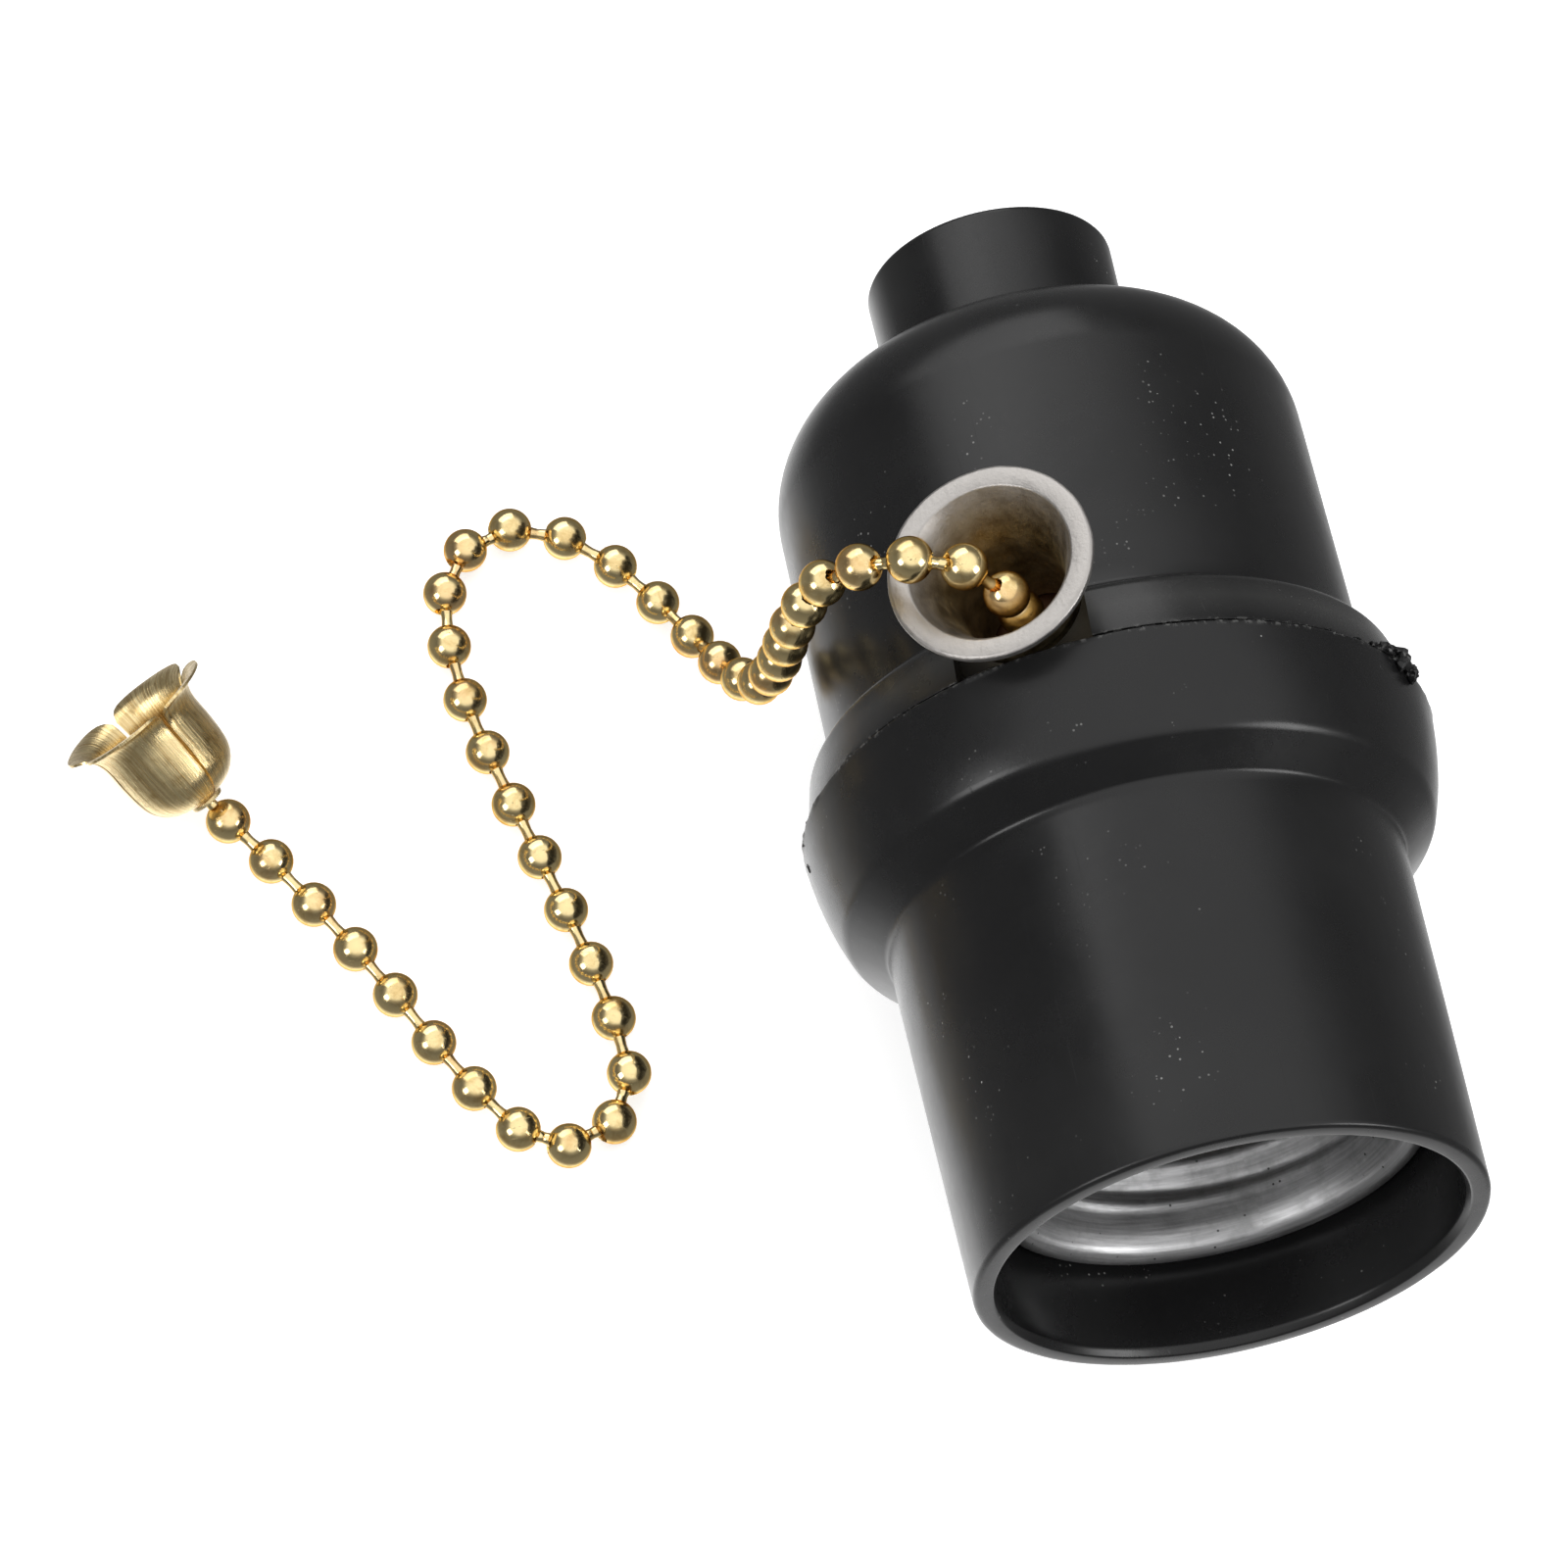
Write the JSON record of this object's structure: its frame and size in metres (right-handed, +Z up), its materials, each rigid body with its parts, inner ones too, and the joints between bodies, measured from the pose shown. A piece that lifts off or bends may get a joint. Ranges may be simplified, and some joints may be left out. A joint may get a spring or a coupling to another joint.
{
  "type": "pull cord switch",
  "caption": "Black moulded E27 lamp holder with a built-in pull chain switch: two screwed shells, flared side guide, ball chain and tulip bell pull, lying on its side.",
  "frame": {"origin": "centre of the footprint of the holder without its chain, on the surface that it lies on", "axes": "+Y from the lamp mouth towards the cable neck, +X to the right seen from above with the neck away, +Z up from the surface"},
  "size_m": [0.0943, 0.0844, 0.048],
  "materials": {
    "black_shell": "semi-gloss black phenolic moulding",
    "brown_moulding": "satin brown phenolic moulding",
    "brass_part": "plain stamped and turned brass",
    "bead_chain": "bright rolled brass beads",
    "bell_brass": "thin bright pressed brass",
    "satin_nickel": "satin nickel plate, tarnished inside",
    "aluminium_sheet": "matt rolled aluminium sheet",
    "zinc_steel": "zinc plated steel"
  },
  "bodies": {
    "holder": {"lower_shell": "black_shell", "upper_shell": "black_shell", "neck_bush": "brass_part", "screw_shell": "aluminium_sheet", "centre_contact": "brass_part", "centre_rivet": "brass_part", "switch_base": "brown_moulding", "switch_case": "brown_moulding", "switch_cover": "brown_moulding", "rotor_pin": "zinc_steel", "return_spring": "zinc_steel", "live_blade": "brass_part", "lamp_blade": "brass_part", "live_terminal": "brass_part", "neutral_terminal": "brass_part", "live_terminal_screw": "zinc_steel", "neutral_terminal_screw": "zinc_steel", "shell_screw_a": "zinc_steel", "shell_screw_b": "zinc_steel", "chain_guide": "satin_nickel", "guide_washer": "zinc_steel", "guide_nut": "brass_part"},
    "chain": {"chain_anchor": "bead_chain", "pull_chain": "bead_chain", "bell_pull": "bell_brass", "end_bead": "bead_chain"},
    "lever": {"pull_lever": "zinc_steel", "drive_pawl": "zinc_steel"},
    "rotor": {"ratchet_wheel": "zinc_steel", "contact_drum": "brown_moulding", "contact_crown": "brass_part"}
  },
  "joints": [
    {"name": "chain_pull", "type": "slide", "parent": "holder", "child": "chain", "axis": [-0.4848, 0.1134, 0.8672], "range_m": [0, 0.009], "stiffness_N_per_m": 1000, "springref_m": -0.004},
    {"name": "lever_swing", "type": "hinge", "parent": "holder", "child": "lever", "pos_m": [-0.00145, 0.0117, 0.02344], "axis": [-0.8746, -0.0629, -0.4807], "range_deg": [0, 53.2]},
    {"name": "rotor_index", "type": "hinge", "parent": "holder", "child": "rotor", "pos_m": [-0.00145, 0.0117, 0.02344], "axis": [-0.8746, -0.0629, -0.4807], "range_deg": [0, 45.1]}
  ],
  "couplings": [
    {"joint": "lever_swing", "follows": "chain_pull", "rad_per_m": 103.03},
    {"joint": "rotor_index", "follows": "chain_pull", "rad_per_m": 87.27}
  ]
}
